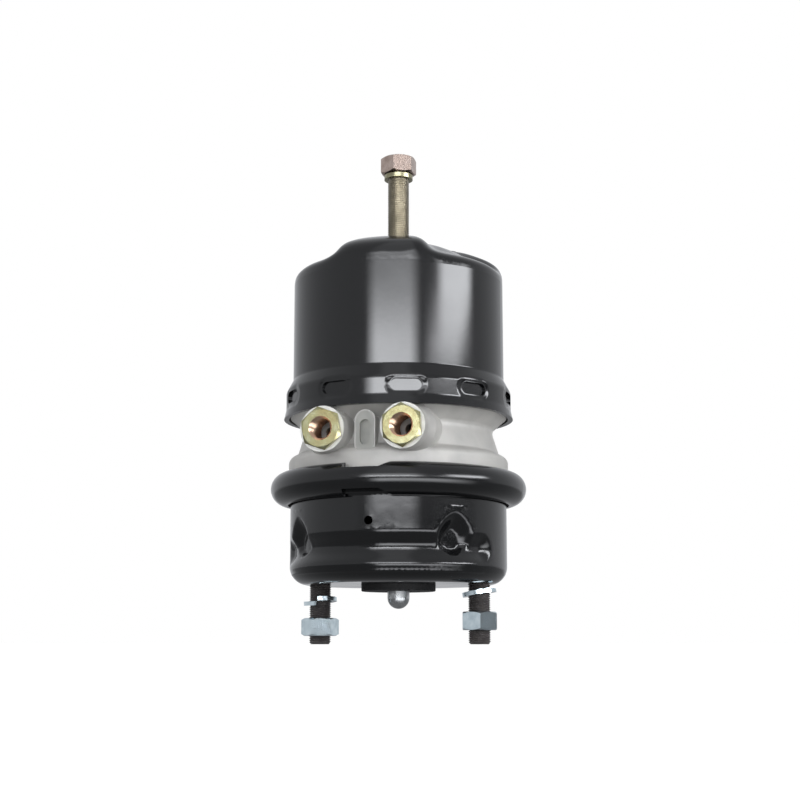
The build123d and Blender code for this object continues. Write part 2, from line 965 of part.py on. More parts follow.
def make_push_plate():
    low = plate_top - plate_thickness
    return turned(
        [
            (rod_r + seat_gap / 2, low),
            (plate_r - plate_thickness, low),
            (plate_r - plate_thickness, plate_top - plate_rim),
            (plate_r, plate_top - plate_rim),
            (plate_r, plate_top),
            (rod_r + seat_gap / 2, plate_top),
        ],
        [0, 0, 0, 0, 2, 0],
    )


def make_push_rod():
    """The rod with its ball end and the collar that carries the push plate."""
    top = plate_top - 0.5
    collar_top_z = plate_top - plate_thickness - seat_gap / 2
    rod = turned(
        [
            (0, rod_r - rod_reach),
            (rod_r, rod_r - rod_reach),
            (rod_r, collar_top_z - rod_flange_height),
            (rod_flange_r, collar_top_z - rod_flange_height),
            (rod_flange_r, collar_top_z),
            (rod_r, collar_top_z),
            (rod_r, top),
            (0, top),
        ]
    )
    return rod + Pos(0, 0, rod_r - rod_reach) * Sphere(rod_r)


def make_return_spring():
    bottom = service_sheet + seat_gap
    top = plate_top - plate_thickness - seat_gap
    pitch = (top - bottom - 2 * return_wire_r) / return_spring_turns
    return coil(
        return_wire_r,
        return_spring_foot_r,
        pitch,
        return_spring_turns,
        bottom,
        return_spring_top_r,
    )


def make_dust_boot():
    """A folded rubber boot from the housing's floor up to the push rod's collar."""
    bottom = service_sheet + seat_gap
    collar_low = plate_top - plate_thickness - rod_flange_height
    top = collar_low - boot_clearance
    neck_low = bottom + boot_sheet * 2
    step = (top - boot_sheet * 2 - neck_low) / boot_folds
    outer = [(boot_foot_r, bottom), (boot_foot_r, neck_low)]
    inner = [(rod_hole_r + 0.5, bottom), (rod_hole_r + 0.5, neck_low)]
    for i in range(boot_folds):
        middle = neck_low + step * (i + 0.5)
        outer += [(boot_fold_r, middle), (boot_neck_r, middle + step / 2)]
        inner += [
            (boot_fold_r - boot_sheet, middle),
            (boot_neck_r - boot_sheet, middle + step / 2),
        ]
    outer.append((boot_neck_r, top))
    inner.append((rod_r + boot_clearance, top - boot_sheet * 2))
    inner.append((rod_r + boot_clearance, top))
    return turned(outer + inner[::-1])


left, right = -1, 1
nodes = {
    "lower_housing": make_lower_housing(),
    "caliper_gasket": make_gasket(),
    "mount_stud_left": make_stud(left, left_nut_drop),
    "mount_stud_right": make_stud(right, right_nut_drop),
    "stud_nut_left": make_stud_nut(left, left_nut_drop, left_nut_turn),
    "stud_nut_right": make_stud_nut(right, right_nut_drop, right_nut_turn),
    "spring_washer_left": make_spring_washer(
        left, left_washer_drop, left_washer_rise, left_washer_tilt, left_washer_split
    ),
    "spring_washer_right": make_spring_washer(
        right, right_washer_drop, right_washer_rise, right_washer_tilt, right_washer_split
    ),
    "clamp_ring": make_clamp_ring(),
    "diaphragm": make_diaphragm(),
    "flange_body": make_flange_body(),
    "flange_seal": make_flange_seal(),
    "port_fitting_service": make_port_fitting(-port_offset, service_hex_turn),
    "port_fitting_parking": make_port_fitting(port_offset, parking_hex_turn),
    "port_seal_service": make_port_seal(-port_offset),
    "port_seal_parking": make_port_seal(port_offset),
    "vent_cap": make_vent_cap(),
    "head_shell": make_head_shell(),
    "thread_insert": make_thread_insert(),
    "spring_seat": make_spring_seat(),
    "power_spring": make_power_spring(),
    "spring_piston": make_piston(),
    "piston_seal": make_piston_seal(),
    "push_tube": make_push_tube(),
    "push_tube_foot": make_tube_foot(),
    "tube_bush": make_tube_bush(),
    "tube_seal": make_tube_seal(),
    "thrust_collar": make_thrust_collar(),
    "release_screw": make_release_screw(),
    "release_nut": make_release_nut(),
    "release_washer": make_release_washer(),
    "push_plate": make_push_plate(),
    "push_rod": make_push_rod(),
    "return_spring": make_return_spring(),
    "dust_boot": make_dust_boot(),
}

for name, shape in nodes.items():
    export_step(shape, f"parts/{name}.step")
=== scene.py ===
import math

import bpy
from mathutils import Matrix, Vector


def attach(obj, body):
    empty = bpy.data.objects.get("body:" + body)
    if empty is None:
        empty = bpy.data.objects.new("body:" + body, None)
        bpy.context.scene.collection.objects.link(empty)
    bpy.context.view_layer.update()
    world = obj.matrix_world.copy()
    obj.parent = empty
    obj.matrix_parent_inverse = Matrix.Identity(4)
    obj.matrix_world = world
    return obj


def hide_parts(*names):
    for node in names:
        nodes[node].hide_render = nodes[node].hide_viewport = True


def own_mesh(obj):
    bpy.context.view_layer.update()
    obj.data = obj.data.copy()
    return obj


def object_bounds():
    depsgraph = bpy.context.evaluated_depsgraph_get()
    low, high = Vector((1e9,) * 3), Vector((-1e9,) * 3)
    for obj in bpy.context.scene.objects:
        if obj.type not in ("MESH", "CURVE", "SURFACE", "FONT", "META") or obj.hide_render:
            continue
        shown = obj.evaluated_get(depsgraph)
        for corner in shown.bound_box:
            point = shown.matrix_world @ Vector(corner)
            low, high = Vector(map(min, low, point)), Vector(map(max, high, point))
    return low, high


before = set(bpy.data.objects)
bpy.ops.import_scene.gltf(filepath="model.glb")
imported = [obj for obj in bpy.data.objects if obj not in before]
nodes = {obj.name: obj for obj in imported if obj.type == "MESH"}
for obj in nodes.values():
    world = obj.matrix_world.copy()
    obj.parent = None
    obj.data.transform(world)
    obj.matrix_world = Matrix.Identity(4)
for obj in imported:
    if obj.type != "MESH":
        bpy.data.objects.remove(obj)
cadBox = [[float(c) for c in corner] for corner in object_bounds()]
print("frame loaded:", len(nodes), "nodes")

mm = 0.001


def toLinear(hexColour):
    # sRGB hex to the linear values that shader sockets take
    parts = [int(hexColour[i:i + 2], 16) / 255 for i in (0, 2, 4)]
    return tuple(p / 12.92 if p <= 0.04045 else ((p + 0.055) / 1.055) ** 2.4 for p in parts) + (1,)


def addNode(tree, kind, settings=None, links=None):
    # one node with its settings and its inputs: a link is (node, output name), anything else is a value
    node = tree.nodes.new(kind)
    for key, value in (settings or {}).items():
        setattr(node, key, value)
    for key, value in (links or {}).items():
        if isinstance(value, tuple) and len(value) == 2 and hasattr(value[0], "outputs"):
            tree.links.new(value[0].outputs[value[1]], node.inputs[key])
        else:
            node.inputs[key].default_value = value
    return node


def newMaterial(name, finish):
    # a Principled surface with constants on its own sockets
    material = bpy.data.materials.new(name)
    material.use_nodes = True
    tree = material.node_tree
    tree.nodes.clear()
    shader = addNode(tree, "ShaderNodeBsdfPrincipled", links=finish)
    addNode(tree, "ShaderNodeOutputMaterial", links={"Surface": (shader, "BSDF")})
    return material, tree, shader


def ramp(tree, source, stops):
    # colour stops along a 0 to 1 source
    node = addNode(tree, "ShaderNodeValToRGB", links={"Fac": source})
    elements = node.color_ramp.elements
    while len(elements) < len(stops):
        elements.new(0.5)
    for element, (place, colour) in zip(elements, stops):
        element.position = place
        element.color = toLinear(colour) if isinstance(colour, str) else (colour, colour, colour, 1)
    return node


# Stove enamel over deep-drawn steel: near black, glassy, with the faint orange peel of sprayed paint
enamel = {
    "base": "090a0c", "roughness": 0.12, "hazePerMetre": 28.0,
    "peelMm": 3.2, "peelHeightMm": 0.02, "peelStrength": 0.35,
}

# Each crimp draws the skin round it in a little, as a soft hollow wider than the pressed slot. Lengths are
# in mm, and turn is the first crimp's place in degrees round from the ports' side.
crimps = {
    "count": 10, "turn": 20.7, "radius": 83.0, "height": 134.0, "straight": 13.5,
    "inner": 4.4, "outer": 9.0, "depth": 0.9,
}


def crimpHollow(tree, place, s):
    # 0 at a crimp's slot and 1 on the plain skin, from the distance to the nearest slot's middle line
    at = addNode(tree, "ShaderNodeSeparateXYZ", links={"Vector": (place, "Object")})
    back = addNode(tree, "ShaderNodeMath", {"operation": "MULTIPLY"}, {0: (at, "Y"), 1: -1.0})
    turn = addNode(tree, "ShaderNodeMath", {"operation": "ARCTAN2"}, {0: (at, "X"), 1: (back, 0)})
    fromFirst = addNode(tree, "ShaderNodeMath", {"operation": "SUBTRACT"}, {
        0: (turn, 0), 1: math.radians(s["turn"])})
    half = math.pi / s["count"]
    nearest = addNode(tree, "ShaderNodeMath", {"operation": "WRAP"}, {0: (fromFirst, 0), 1: half, 2: -half})
    beside = addNode(tree, "ShaderNodeMath", {"operation": "ABSOLUTE"}, {0: (nearest, 0)})
    past = addNode(tree, "ShaderNodeMath", {"operation": "MULTIPLY_ADD"}, {
        0: (beside, 0), 1: s["radius"] * mm, 2: -s["straight"] / 2 * mm})
    along = addNode(tree, "ShaderNodeMath", {"operation": "MAXIMUM"}, {0: (past, 0), 1: 0.0})
    above = addNode(tree, "ShaderNodeMath", {"operation": "SUBTRACT"}, {0: (at, "Z"), 1: s["height"] * mm})
    away = addNode(tree, "ShaderNodeCombineXYZ", links={"X": (along, 0), "Y": (above, 0)})
    reach = addNode(tree, "ShaderNodeVectorMath", {"operation": "LENGTH"}, {0: (away, 0)})
    return addNode(tree, "ShaderNodeMapRange", {"interpolation_type": "SMOOTHSTEP"}, {
        "Value": (reach, "Value"), "From Min": s["inner"] * mm, "From Max": s["outer"] * mm})


def makeEnamel(name, s):
    material, tree, shader = newMaterial(name, {"Base Color": toLinear(s["base"]), "Metallic": 0.0})
    place = addNode(tree, "ShaderNodeTexCoord")
    peel = addNode(tree, "ShaderNodeTexNoise", links={
        "Vector": (place, "Object"), "Scale": 1 / (s["peelMm"] * mm), "Detail": 2.0})
    haze = addNode(tree, "ShaderNodeTexNoise", links={
        "Vector": (place, "Object"), "Scale": s["hazePerMetre"], "Detail": 4.0})
    rough = addNode(tree, "ShaderNodeMapRange", links={
        "Value": (haze, "Fac"), "From Min": 0.3, "From Max": 0.75,
        "To Min": s["roughness"] * 0.85, "To Max": s["roughness"] * 1.25})
    tree.links.new(rough.outputs["Result"], shader.inputs["Roughness"])
    bump = addNode(tree, "ShaderNodeBump", links={
        "Strength": s["peelStrength"], "Distance": s["peelHeightMm"] * mm, "Height": (peel, "Fac")})
    if "crimps" in s:
        hollow = crimpHollow(tree, place, s["crimps"])
        bump = addNode(tree, "ShaderNodeBump", links={
            "Distance": s["crimps"]["depth"] * mm, "Height": (hollow, "Result"), "Normal": (bump, "Normal")})
    tree.links.new(bump.outputs["Normal"], shader.inputs["Normal"])
    return material


# Gravity-cast aluminium, shot-blasted: pale, dull, with a fine grain and slightly darker patches. The bosses'
# faces, where the fittings' hexagons seat, are milled bright from one Y to the other, in mm.
casting = {
    "dark": "aeadab", "light": "bebdba", "metallic": 0.35, "roughness": 0.6, "patchMm": 22.0,
    "grainMm": 0.9, "grainHeightMm": 0.12, "grainStrength": 0.45,
    "milled": "e6e6e3", "milledFrom": -85.3, "milledTo": -85.45,
}


def makeCasting(name, s):
    material, tree, shader = newMaterial(name, {"Metallic": s["metallic"], "Roughness": s["roughness"]})
    place = addNode(tree, "ShaderNodeTexCoord")
    patch = addNode(tree, "ShaderNodeTexNoise", links={
        "Vector": (place, "Object"), "Scale": 1 / (s["patchMm"] * mm), "Detail": 5.0})
    colour = ramp(tree, (patch, "Fac"), [(0.30, s["dark"]), (0.62, s["light"])])
    at = addNode(tree, "ShaderNodeSeparateXYZ", links={"Vector": (place, "Object")})
    milled = addNode(tree, "ShaderNodeMapRange", links={
        "Value": (at, "Y"), "From Min": s["milledFrom"] * mm, "From Max": s["milledTo"] * mm})
    shown = addNode(tree, "ShaderNodeMix", {"data_type": "RGBA"}, {
        0: (milled, "Result"), 6: (colour, "Color"), 7: toLinear(s["milled"])})
    tree.links.new(shown.outputs[2], shader.inputs["Base Color"])
    grain = addNode(tree, "ShaderNodeTexNoise", links={
        "Vector": (place, "Object"), "Scale": 1 / (s["grainMm"] * mm), "Detail": 3.0})
    bump = addNode(tree, "ShaderNodeBump", links={
        "Strength": s["grainStrength"], "Distance": s["grainHeightMm"] * mm, "Height": (grain, "Fac")})
    tree.links.new(bump.outputs["Normal"], shader.inputs["Normal"])
    return material


# How high the grain stands on plated and on moulded surfaces, in mm
grainHeight = {"plated": 0.08, "moulded": 0.06}


# Plated, treated or ground steel: a satin metal whose passivation gives it its tint
def makePlating(name, s):
    material, tree, shader = newMaterial(name, {"Metallic": s.get("metallic", 1.0)})
    place = addNode(tree, "ShaderNodeTexCoord")
    patch = addNode(tree, "ShaderNodeTexNoise", links={
        "Vector": (place, "Object"), "Scale": 1 / (s["patchMm"] * mm), "Detail": 3.0, "Roughness": 0.6})
    colour = ramp(tree, (patch, "Fac"), [(0.34, s["deep"]), (0.52, s["mid"]), (0.70, s["pale"])])
    if "bore" in s:
        # inside the port the passivation is thicker and browner
        bore = s["bore"]
        at = addNode(tree, "ShaderNodeSeparateXYZ", links={"Vector": (place, "Object")})
        side = addNode(tree, "ShaderNodeMath", {"operation": "ABSOLUTE"}, {0: (at, "X")})
        across = addNode(tree, "ShaderNodeMath", {"operation": "SUBTRACT"}, {
            0: (side, 0), 1: bore["offset"] * mm})
        above = addNode(tree, "ShaderNodeMath", {"operation": "SUBTRACT"}, {
            0: (at, "Z"), 1: bore["height"] * mm})
        away = addNode(tree, "ShaderNodeCombineXYZ", links={"X": (across, 0), "Y": (above, 0)})
        reach = addNode(tree, "ShaderNodeVectorMath", {"operation": "LENGTH"}, {0: (away, 0)})
        inside = addNode(tree, "ShaderNodeMapRange", links={
            "Value": (reach, "Value"), "From Min": bore["edge"] * mm, "From Max": bore["radius"] * mm})
        colour = addNode(tree, "ShaderNodeMix", {"data_type": "RGBA"}, {
            0: (inside, "Result"), 6: (colour, "Color"), 7: toLinear(bore["colour"])})
        tree.links.new(colour.outputs[2], shader.inputs["Base Color"])
    else:
        tree.links.new(colour.outputs["Color"], shader.inputs["Base Color"])
    rough = addNode(tree, "ShaderNodeMapRange", links={
        "Value": (patch, "Fac"), "From Min": 0.3, "From Max": 0.7,
        "To Min": s["roughness"] * 1.2, "To Max": s["roughness"] * 0.85})
    tree.links.new(rough.outputs["Result"], shader.inputs["Roughness"])
    grain = addNode(tree, "ShaderNodeTexNoise", links={
        "Vector": (place, "Object"), "Scale": 1 / (s["grainMm"] * mm), "Detail": 2.0})
    bump = addNode(tree, "ShaderNodeBump", links={
        "Strength": s["bump"], "Distance": grainHeight["plated"] * mm, "Height": (grain, "Fac")})
    tree.links.new(bump.outputs["Normal"], shader.inputs["Normal"])
    return material


# Moulded rubber and plastic: no metal, soft sheen, a fine moulded grain
def makeMoulded(name, s):
    material, tree, shader = newMaterial(name, {"Metallic": 0.0, "Roughness": s["roughness"]})
    place = addNode(tree, "ShaderNodeTexCoord")
    patch = addNode(tree, "ShaderNodeTexNoise", links={
        "Vector": (place, "Object"), "Scale": 1 / (s["patchMm"] * mm), "Detail": 4.0})
    colour = ramp(tree, (patch, "Fac"), [(0.32, s["dark"]), (0.68, s["light"])])
    tree.links.new(colour.outputs["Color"], shader.inputs["Base Color"])
    grain = addNode(tree, "ShaderNodeTexNoise", links={
        "Vector": (place, "Object"), "Scale": 1 / (s["grainMm"] * mm), "Detail": 1.0})
    bump = addNode(tree, "ShaderNodeBump", links={
        "Strength": s["bump"], "Distance": grainHeight["moulded"] * mm, "Height": (grain, "Fac")})
    tree.links.new(bump.outputs["Normal"], shader.inputs["Normal"])
    return material


blackEnamel = makeEnamel("blackStoveEnamel", enamel)
crimpedEnamel = makeEnamel("crimpedHeadEnamel", dict(enamel, crimps=crimps))
clampEnamel = makeEnamel("clampRingEnamel", dict(enamel, roughness=0.15, peelMm=3.8))
blastedAluminium = makeCasting("shotBlastedAluminium", casting)
yellowZinc = makePlating("yellowPassivatedZinc", {
    "deep": "998f68", "mid": "a6a27b", "pale": "b3b190", "roughness": 0.22,
    "patchMm": 7.0, "grainMm": 0.8, "bump": 0.2,
    "bore": {"offset": 29.0, "height": 104.2, "edge": 8.5, "radius": 8.3, "colour": "c4a78f"}})
chromateSteel = makePlating("yellowChromateSteel", {
    "deep": "b6b0a2", "mid": "c2bcae", "pale": "cdc8ba", "roughness": 0.4,
    "patchMm": 9.0, "grainMm": 0.9, "bump": 0.05})
pinkZinc = makePlating("irisedZincHexagon", {
    "deep": "a8968c", "mid": "b6a49a", "pale": "c2b1a8", "roughness": 0.26,
    "patchMm": 6.0, "grainMm": 0.9, "bump": 0.03})
paleZinc = makePlating("paleZincWasher", {
    "deep": "837c62", "mid": "949075", "pale": "a4a187", "roughness": 0.28,
    "patchMm": 5.0, "grainMm": 0.6, "bump": 0.25})
brightZinc = makePlating("brightZincNut", {
    "deep": "bccad1", "mid": "cad8de", "pale": "d8e4e9", "roughness": 0.12,
    "patchMm": 6.0, "grainMm": 0.6, "bump": 0.35})
phosphatedSteel = makePlating("blackPhosphatedSteel", {
    "deep": "4a4747", "mid": "585454", "pale": "65615f", "roughness": 0.36, "metallic": 0.1,
    "patchMm": 5.0, "grainMm": 0.5, "bump": 0.35})
plainSteel = makePlating("groundSteel", {
    "deep": "7c7e80", "mid": "9a9c9e", "pale": "b4b6b8", "roughness": 0.32,
    "patchMm": 9.0, "grainMm": 0.6, "bump": 0.2})
polishedRod = makePlating("polishedRodSteel", {
    "deep": "9a9c9d", "mid": "aeb0b0", "pale": "c0c2c2", "roughness": 0.3,
    "patchMm": 5.0, "grainMm": 0.7, "bump": 0.2})
greyPlastic = makeMoulded("greyMouldedNylon", {
    "dark": "a0a19e", "light": "acada9", "roughness": 0.48,
    "patchMm": 8.0, "grainMm": 0.5, "bump": 0.3})
blackRubber = makeMoulded("blackMouldedRubber", {
    "dark": "070708", "light": "0d0d0e", "roughness": 0.75,
    "patchMm": 7.0, "grainMm": 0.6, "bump": 0.3})

finishes = [
    (blackEnamel, ["lower_housing"]),
    (crimpedEnamel, ["head_shell"]),
    (clampEnamel, ["clamp_ring"]),
    (blastedAluminium, ["flange_body", "spring_piston"]),
    (yellowZinc, ["port_fitting_service", "port_fitting_parking"]),
    (paleZinc, ["release_washer"]),
    (pinkZinc, ["release_nut"]),
    (chromateSteel, ["release_screw"]),
    (brightZinc, ["stud_nut_left", "stud_nut_right", "spring_washer_left", "spring_washer_right"]),
    (phosphatedSteel, ["mount_stud_left", "mount_stud_right", "power_spring"]),
    (plainSteel, ["thread_insert", "spring_seat", "push_tube", "thrust_collar", "return_spring",
                  "push_plate"]),
    (polishedRod, ["push_rod"]),
    (greyPlastic, ["vent_cap", "push_tube_foot", "tube_bush"]),
    (blackRubber, ["caliper_gasket", "diaphragm", "dust_boot", "flange_seal", "port_seal_service",
                   "port_seal_parking", "piston_seal", "tube_seal"]),
]
dressed = set()
for material, names in finishes:
    for name in names:
        data = nodes[name].data
        data.materials.clear()
        data.materials.append(material)
        dressed.add(name)
print("finishes on", len(dressed), "nodes, left over:", sorted(set(nodes) - dressed))


# Threads are wound at their real pitch, and cut into the CAD pieces' own shapes. All in mm, along the
# thread's own axis; each thread starts and ends a little past the piece that it cuts.
thread = {"pitch": 1.5, "crestR": 8.02, "rootR": 7.08, "steps": 32, "smoothDegrees": 28}
studs = {"low": -45.5, "high": 5.1, "threadTop": 3.1, "spacing": 120.65, "keepR": 20, "keepTop": 12}
screw = {"low": 160.0, "high": 324.0}
ports = {"low": -91.0, "high": -69.0, "offset": 29.0, "height": 104.2, "rootR": 7.1, "crestR": 8.0}


def pickOnly(piece):
    if bpy.context.object and bpy.context.object.mode != "OBJECT":
        bpy.ops.object.mode_set(mode="OBJECT")
    bpy.ops.object.select_all(action="DESELECT")
    piece.select_set(True)
    bpy.context.view_layer.objects.active = piece


def settle(piece):
    # the place goes into the mesh, and the object itself sits at the origin
    pickOnly(piece)
    bpy.ops.object.transform_apply(location=True, rotation=True, scale=True)


def applyModifier(piece, name):
    pickOnly(piece)
    bpy.ops.object.modifier_apply(modifier=name)


def combine(piece, other, operation):
    # boolean with a helper that is thrown away afterwards
    cut = piece.modifiers.new("cut", "BOOLEAN")
    cut.operation = operation
    cut.solver = "EXACT"
    cut.object = other
    applyModifier(piece, "cut")
    bpy.data.objects.remove(other, do_unlink=True)


def windThread(name, low, high, rootR, crestR):
    # a single point is drawn out to one thread's flanks and wound up by a Screw modifier
    bpy.ops.object.select_all(action="DESELECT")
    bpy.ops.mesh.primitive_plane_add(size=mm, location=(0, 0, low * mm))
    bar = bpy.context.object
    bar.name = name
    half = thread["pitch"] / 2 * mm
    depth = (crestR - rootR) * mm
    bpy.ops.object.mode_set(mode="EDIT")
    bpy.ops.mesh.select_all(action="SELECT")
    bpy.ops.mesh.merge(type="CENTER")
    bpy.ops.transform.translate(value=(rootR * mm, 0, 0))
    bpy.ops.mesh.extrude_region_move(TRANSFORM_OT_translate={"value": (depth, 0, half)})
    bpy.ops.mesh.extrude_region_move(TRANSFORM_OT_translate={"value": (-depth, 0, half)})
    bpy.ops.object.mode_set(mode="OBJECT")
    wind = bar.modifiers.new("wind", "SCREW")
    wind.axis = "Z"
    wind.screw_offset = thread["pitch"] * mm
    wind.iterations = math.ceil((high - low) / thread["pitch"])
    wind.steps = wind.render_steps = thread["steps"]
    applyModifier(bar, "wind")
    # neighbouring turns are joined, and each open end is drawn in to a point
    bpy.ops.object.mode_set(mode="EDIT")
    bpy.ops.mesh.select_all(action="SELECT")
    bpy.ops.mesh.remove_doubles(threshold=0.01 * mm)
    bpy.ops.mesh.select_all(action="DESELECT")
    bpy.ops.mesh.select_mode(type="EDGE")
    bpy.ops.mesh.select_non_manifold()
    bpy.ops.mesh.extrude_edges_move()
    bpy.ops.mesh.merge(type="COLLAPSE")
    bpy.ops.mesh.select_all(action="SELECT")
    bpy.ops.mesh.normals_make_consistent(inside=False)
    bpy.ops.mesh.select_mode(type="VERT")
    bpy.ops.object.mode_set(mode="OBJECT")
    settle(bar)
    return bar


def mergedCopy(nodeName, name):
    # a CAD piece's loose triangles are joined before they are cut
    pickOnly(nodes[nodeName])
    bpy.ops.object.duplicate()
    piece = bpy.context.object
    piece.name = name
    bpy.ops.mesh.customdata_custom_splitnormals_clear()
    bpy.ops.object.mode_set(mode="EDIT")
    bpy.ops.mesh.select_all(action="SELECT")
    bpy.ops.mesh.remove_doubles(threshold=0.002 * mm)
    bpy.ops.object.mode_set(mode="OBJECT")
    return piece


def finishPiece(piece, nodeName, body):
    pickOnly(piece)
    bpy.ops.object.shade_smooth_by_angle(angle=math.radians(thread["smoothDegrees"]))
    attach(piece, body)
    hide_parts(nodeName)


def makeStuds(s):
    # below the head only what lies inside the thread's form is kept
    for side, word in ((-1, "left"), (1, "right")):
        stud = mergedCopy("mount_stud_" + word, "threadedStud" + word.capitalize())
        keep = windThread("studThread", s["low"], s["high"], thread["rootR"], thread["crestR"])
        bpy.ops.object.select_all(action="DESELECT")
        bpy.ops.mesh.primitive_cylinder_add(
            vertices=48, radius=s["keepR"] * mm, depth=(s["keepTop"] - s["threadTop"]) * mm,
            location=(0, 0, (s["keepTop"] + s["threadTop"]) / 2 * mm))
        head = bpy.context.object
        settle(head)
        combine(keep, head, "UNION")
        keep.location.x = side * s["spacing"] / 2 * mm
        settle(keep)
        combine(stud, keep, "INTERSECT")
        finishPiece(stud, "mount_stud_" + word, "housing")


def makeScrew(s):
    bolt = mergedCopy("release_screw", "threadedReleaseScrew")
    keep = windThread("screwThread", s["low"], s["high"], thread["rootR"], thread["crestR"])
    combine(bolt, keep, "INTERSECT")
    finishPiece(bolt, "release_screw", "release_bolt")


def makePorts(s):
    for side, word in ((-1, "service"), (1, "parking")):
        fitting = mergedCopy("port_fitting_" + word, "threadedPort" + word.capitalize())
        tap = windThread("portTap", s["low"], s["high"], s["rootR"], s["crestR"])
        bpy.ops.transform.rotate(value=math.radians(90), orient_axis="X", center_override=(0, 0, 0))
        tap.location = (side * s["offset"] * mm, 0, s["height"] * mm)
        settle(tap)
        combine(fitting, tap, "DIFFERENCE")
        finishPiece(fitting, "port_fitting_" + word, "housing")


makeStuds(studs)
makeScrew(screw)
makePorts(ports)
print("threads cut on studs, release screw and ports")


# The return spring and the dust boot close up on the housing's floor as the push plate comes down; here they
# are only copied onto the housing, and nothing closes them with the stroke
closing = {
    "joint": "push_rod_stroke", "floor": 3.3,
    "parts": [
        {"node": "return_spring", "name": "closingReturnSpring", "slot": "plain_steel", "keep": 0.138},
        {"node": "dust_boot", "name": "closingDustBoot", "slot": "black_rubber", "keep": 0.066},
    ],
}


def makeClosing(s):
    for part in s["parts"]:
        piece = mergedCopy(part["node"], part["name"])
        finishPiece(piece, part["node"], "housing")
        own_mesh(piece)


makeClosing(closing)


# The floor on which the studs' tips stand, size in metres. Lift is how much paler it is to the camera
# alone, so the object gets no light from it.
floor = {"size": 8.0, "colour": "cfcfce", "lift": 0.55}


def makeFloor(s):
    bpy.ops.object.select_all(action="DESELECT")
    bpy.ops.mesh.primitive_plane_add(size=s["size"], location=(0, 0, cadBox[0][2]))
    plane = bpy.context.object
    plane.name = "studioFloor"
    settle(plane)
    material = bpy.data.materials.new("paleStudioFloor")
    material.use_nodes = True
    tree = material.node_tree
    tree.nodes.clear()
    path = addNode(tree, "ShaderNodeLightPath")
    seen = addNode(tree, "ShaderNodeMath", {"operation": "MULTIPLY"}, {
        0: (path, "Is Camera Ray"), 1: s["lift"]})
    paint = addNode(tree, "ShaderNodeBsdfDiffuse", links={"Color": toLinear(s["colour"])})
    glow = addNode(tree, "ShaderNodeEmission", links={"Strength": (seen, 0)})
    both = addNode(tree, "ShaderNodeAddShader")
    tree.links.new(paint.outputs[0], both.inputs[0])
    tree.links.new(glow.outputs[0], both.inputs[1])
    addNode(tree, "ShaderNodeOutputMaterial", links={"Surface": (both, 0)})
    plane.data.materials.append(material)
    plane.visible_glossy = False


makeFloor(floor)
print("floor laid")


# The camera stands at the studs' height and looks slightly up. Lengths in metres, turns in degrees.
camera = {
    "distance": 1.05, "azimuth": 17.0, "side": 0.0011, "height": -0.041, "pitch": 9.6,
    "lens": 64.5, "sensor": 36, "near": 0.01,
}


def setCamera(s):
    around = math.radians(s["azimuth"])
    bpy.ops.object.camera_add(
        location=(s["distance"] * math.sin(around) + s["side"] * math.cos(around),
                  -s["distance"] * math.cos(around) + s["side"] * math.sin(around), s["height"]),
        rotation=(math.radians(90 + s["pitch"]), 0, around))
    cam = bpy.context.object
    cam.name = "studioCamera"
    cam.data.lens = s["lens"]
    cam.data.sensor_width = s["sensor"]
    cam.data.clip_start = s["near"]
    bpy.context.scene.camera = cam


setCamera(camera)

# Soft boxes: place as degrees round the object from the ports and degrees up, size in metres. All of them
# look at one height on the object's axis.
aimHeight = 0.13
softBoxes = {
    "keyBox": {"around": 68, "up": 4, "distance": 1.6, "size": (1.0, 1.0), "power": 15},
    "fillBox": {"around": -50, "up": 12, "distance": 1.8, "size": (1.2, 1.0), "power": 10},
    "backBox": {"around": 195, "up": 35, "distance": 1.8, "size": (1.2, 1.0), "power": 9},
}


def addSoftBox(name, s):
    around, up = math.radians(s["around"]), math.radians(s["up"])
    reach = s["distance"]
    place = (reach * math.cos(up) * math.sin(around), -reach * math.cos(up) * math.cos(around),
             aimHeight + reach * math.sin(up))
    bpy.ops.object.light_add(type="AREA", location=place, rotation=(math.radians(90) - up, 0, around))
    lamp = bpy.context.object
    lamp.name = name
    lamp.data.shape = "RECTANGLE"
    lamp.data.size, lamp.data.size_y = s["size"]
    lamp.data.energy = s["power"]
    lamp.visible_glossy = False  # gloss sees the room's windows instead
    lamp.visible_camera = False


for name, s in softBoxes.items():
    addSoftBox(name, s)


